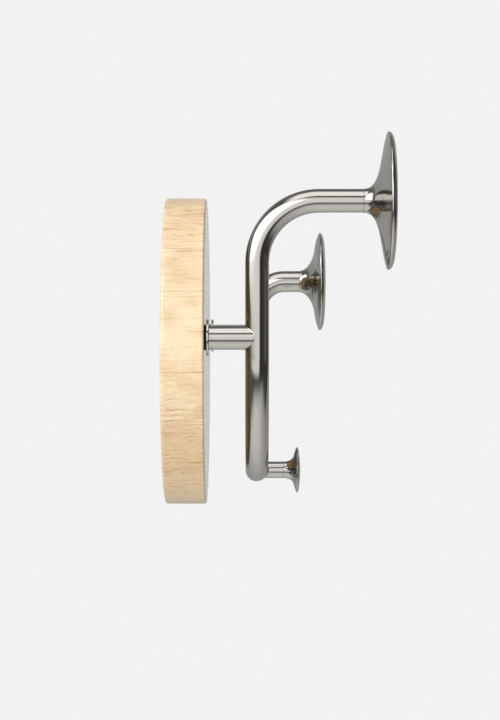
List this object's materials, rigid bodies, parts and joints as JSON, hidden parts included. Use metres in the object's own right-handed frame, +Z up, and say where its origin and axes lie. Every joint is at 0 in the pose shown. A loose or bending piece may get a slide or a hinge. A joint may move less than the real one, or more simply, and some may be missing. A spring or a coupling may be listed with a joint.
{
  "type": "valet hook",
  "caption": "Wall-mounted valet hook: a round solid base of pale wood, and one bent metal tube on standoff posts that ends in trumpet-shaped knobs for clothes and a bag.",
  "frame": {"origin": "centre of the round base's back face, which lies against the wall", "axes": "+Y into the wall, -Y into the room, +Z up, +X to the right of someone facing the hook"},
  "size_m": [0.2516, 0.1549, 0.2557],
  "materials": {
    "wood": "pale straight-grained wood such as ash, clear satin lacquer",
    "satin_metal": "satin nickel plate on steel, softly reflective",
    "black_rubber": "black rubber sheet, matt",
    "zinc_steel": "bright zinc plate on steel"
  },
  "bodies": {
    "root": {"wood_base": "wood", "hook_frame": "satin_metal", "left_post": "satin_metal", "right_post": "satin_metal", "left_flange": "satin_metal", "right_flange": "satin_metal", "left_spacer": "black_rubber", "right_spacer": "black_rubber", "left_bolt": "zinc_steel", "right_bolt": "zinc_steel", "left_bolt_washer": "zinc_steel", "right_bolt_washer": "zinc_steel", "large_knob": "satin_metal", "large_knob_stud": "zinc_steel", "large_tube_plug": "zinc_steel", "medium_knob": "satin_metal", "medium_knob_stud": "zinc_steel", "medium_tube_plug": "zinc_steel", "small_hook_rod": "satin_metal", "small_knob": "satin_metal", "small_knob_stud": "zinc_steel", "left_keyhole_plate": "zinc_steel", "right_keyhole_plate": "zinc_steel", "left_plate_screw_lower": "zinc_steel", "left_plate_screw_upper": "zinc_steel", "right_plate_screw_lower": "zinc_steel", "right_plate_screw_upper": "zinc_steel"}
  },
  "joints": []
}
